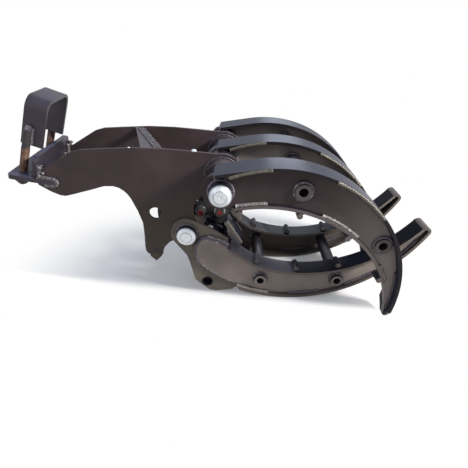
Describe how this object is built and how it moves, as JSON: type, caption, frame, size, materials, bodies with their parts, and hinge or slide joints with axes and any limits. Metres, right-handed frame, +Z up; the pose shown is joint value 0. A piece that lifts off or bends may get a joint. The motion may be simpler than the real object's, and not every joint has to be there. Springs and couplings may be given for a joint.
{
  "type": "log grapple",
  "caption": "Compact log grapple with interleaving curved jaws on two pivots, a ram between them and a rod clamp that grips an excavator's dipper arm.",
  "frame": {"origin": "centre of the bounding box's bottom face, on the floor under the jaws' hinge area", "axes": "+X from the clamp end towards the jaw tips, +Y towards the far side of the picture, +Z up"},
  "size_m": [1.1322, 0.5246, 0.5717],
  "materials": {
    "clamp_base_plate": "satin black paint",
    "clamp_end_plate": "satin black paint",
    "clamp_nut_left": "satin zinc plating",
    "clamp_nut_right": "satin zinc plating",
    "clamp_rod_left": "painted at the weld, bare and lightly rusted on the thread",
    "clamp_rod_right": "painted at the weld, bare and lightly rusted on the thread",
    "clamp_saddle": "satin black paint",
    "clamp_taper_washer_left": "satin zinc plating",
    "clamp_taper_washer_right": "satin zinc plating",
    "frame_cross_brace": "satin black paint",
    "frame_lower_boss_left": "satin black paint",
    "frame_lower_boss_right": "satin black paint",
    "frame_plate_left": "satin black paint",
    "frame_plate_right": "satin black paint",
    "frame_upper_boss_left": "satin black paint",
    "frame_upper_boss_right": "satin black paint",
    "lower_cross_tube_front": "satin black paint",
    "lower_cross_tube_rear": "satin black paint",
    "lower_hinge_plate_left": "satin black paint",
    "lower_hinge_plate_right": "satin black paint",
    "lower_pivot_pin_left": "satin zinc plating",
    "lower_pivot_pin_right": "satin zinc plating",
    "lower_stop_bar": "satin black paint",
    "lower_throat_plate": "satin black paint",
    "lower_tine_inner_strip_left": "satin black paint",
    "lower_tine_inner_strip_right": "satin black paint",
    "lower_tine_outer_strip_left": "satin black paint",
    "lower_tine_outer_strip_right": "satin black paint",
    "lower_tine_web_left": "satin black paint",
    "lower_tine_web_right": "satin black paint",
    "ram_barrel": "black paint",
    "ram_base_pin": "satin zinc plating",
    "ram_clevis_pin": "satin zinc plating",
    "ram_gland": "black paint",
    "ram_port_adapter_left": "satin zinc plating",
    "ram_port_adapter_right": "satin zinc plating",
    "ram_port_plug_left": "red moulded plastic",
    "ram_port_plug_right": "red moulded plastic",
    "ram_rod": "polished hard chrome",
    "ram_rod_clevis": "black paint",
    "ram_valve_block": "black paint",
    "upper_cross_tube_front": "satin black paint",
    "upper_cross_tube_rear": "satin black paint",
    "upper_hinge_collar_left": "satin black paint",
    "upper_hinge_collar_right": "satin black paint",
    "upper_hinge_sleeve_centre": "satin black paint",
    "upper_hinge_sleeve_left": "satin black paint",
    "upper_hinge_sleeve_right": "satin black paint",
    "upper_pivot_pin": "satin zinc plating",
    "upper_tine_inner_strip_centre": "satin black paint",
    "upper_tine_inner_strip_left": "satin black paint",
    "upper_tine_inner_strip_right": "satin black paint",
    "upper_tine_outer_strip_centre": "satin black paint",
    "upper_tine_outer_strip_left": "satin black paint",
    "upper_tine_outer_strip_right": "satin black paint",
    "upper_tine_web_centre": "satin black paint",
    "upper_tine_web_left": "satin black paint",
    "upper_tine_web_right": "satin black paint"
  },
  "bodies": {
    "frame": {"clamp_base_plate": "clamp_base_plate", "clamp_end_plate": "clamp_end_plate", "clamp_nut_left": "clamp_nut_left", "clamp_nut_right": "clamp_nut_right", "clamp_taper_washer_left": "clamp_taper_washer_left", "clamp_taper_washer_right": "clamp_taper_washer_right", "frame_cross_brace": "frame_cross_brace", "frame_lower_boss_left": "frame_lower_boss_left", "frame_lower_boss_right": "frame_lower_boss_right", "frame_plate_left": "frame_plate_left", "frame_plate_right": "frame_plate_right", "frame_upper_boss_left": "frame_upper_boss_left", "frame_upper_boss_right": "frame_upper_boss_right", "lower_stop_bar": "lower_stop_bar"},
    "clamp": {"clamp_saddle": "clamp_saddle", "clamp_rod_left": "clamp_rod_left", "clamp_rod_right": "clamp_rod_right"},
    "upper_jaw": {"upper_cross_tube_front": "upper_cross_tube_front", "upper_cross_tube_rear": "upper_cross_tube_rear", "upper_hinge_collar_left": "upper_hinge_collar_left", "upper_hinge_collar_right": "upper_hinge_collar_right", "upper_hinge_sleeve_centre": "upper_hinge_sleeve_centre", "upper_hinge_sleeve_left": "upper_hinge_sleeve_left", "upper_hinge_sleeve_right": "upper_hinge_sleeve_right", "upper_pivot_pin": "upper_pivot_pin", "upper_tine_inner_strip_centre": "upper_tine_inner_strip_centre", "upper_tine_inner_strip_left": "upper_tine_inner_strip_left", "upper_tine_inner_strip_right": "upper_tine_inner_strip_right", "upper_tine_outer_strip_centre": "upper_tine_outer_strip_centre", "upper_tine_outer_strip_left": "upper_tine_outer_strip_left", "upper_tine_outer_strip_right": "upper_tine_outer_strip_right", "upper_tine_web_centre": "upper_tine_web_centre", "upper_tine_web_left": "upper_tine_web_left", "upper_tine_web_right": "upper_tine_web_right"},
    "lower_jaw": {"lower_cross_tube_front": "lower_cross_tube_front", "lower_cross_tube_rear": "lower_cross_tube_rear", "lower_hinge_plate_left": "lower_hinge_plate_left", "lower_hinge_plate_right": "lower_hinge_plate_right", "lower_pivot_pin_left": "lower_pivot_pin_left", "lower_pivot_pin_right": "lower_pivot_pin_right", "lower_throat_plate": "lower_throat_plate", "lower_tine_inner_strip_left": "lower_tine_inner_strip_left", "lower_tine_inner_strip_right": "lower_tine_inner_strip_right", "lower_tine_outer_strip_left": "lower_tine_outer_strip_left", "lower_tine_outer_strip_right": "lower_tine_outer_strip_right", "lower_tine_web_left": "lower_tine_web_left", "lower_tine_web_right": "lower_tine_web_right", "ram_base_pin": "ram_base_pin"},
    "ram_barrel_body": {"ram_barrel": "ram_barrel", "ram_gland": "ram_gland", "ram_port_adapter_left": "ram_port_adapter_left", "ram_port_adapter_right": "ram_port_adapter_right", "ram_port_plug_left": "ram_port_plug_left", "ram_port_plug_right": "ram_port_plug_right", "ram_valve_block": "ram_valve_block"},
    "ram_rod_body": {"ram_rod": "ram_rod", "ram_rod_clevis": "ram_rod_clevis", "ram_clevis_pin": "ram_clevis_pin"}
  },
  "joints": [
    {"name": "clamp_slide", "type": "slide", "parent": "frame", "child": "clamp", "axis": [-0.342, 0, -0.9397], "range_m": [0, 0.01]},
    {"name": "upper_jaw_hinge", "type": "hinge", "parent": "frame", "child": "upper_jaw", "pos_m": [-0.0055, 0, 0.381], "axis": [0, -1, 0], "range_deg": [0, 30]},
    {"name": "lower_jaw_hinge", "type": "hinge", "parent": "frame", "child": "lower_jaw", "pos_m": [-0.1065, 0, 0.207], "axis": [0, 1, 0], "range_deg": [0, 30.1]},
    {"name": "ram_swing", "type": "hinge", "parent": "lower_jaw", "child": "ram_barrel_body", "pos_m": [-0.048, 0, 0.175], "axis": [0, -1, 0], "range_deg": [0, 28.5]},
    {"name": "ram_slide", "type": "slide", "parent": "ram_barrel_body", "child": "ram_rod_body", "axis": [0.494, 0, 0.8695], "range_m": [0, 0.0684]}
  ],
  "couplings": [
    {"joint": "lower_jaw_hinge", "follows": "upper_jaw_hinge", "ratio": 1},
    {"joint": "ram_swing", "follows": "upper_jaw_hinge", "ratio": 0.94667},
    {"joint": "ram_slide", "follows": "upper_jaw_hinge", "m_per_rad": 0.13044}
  ]
}
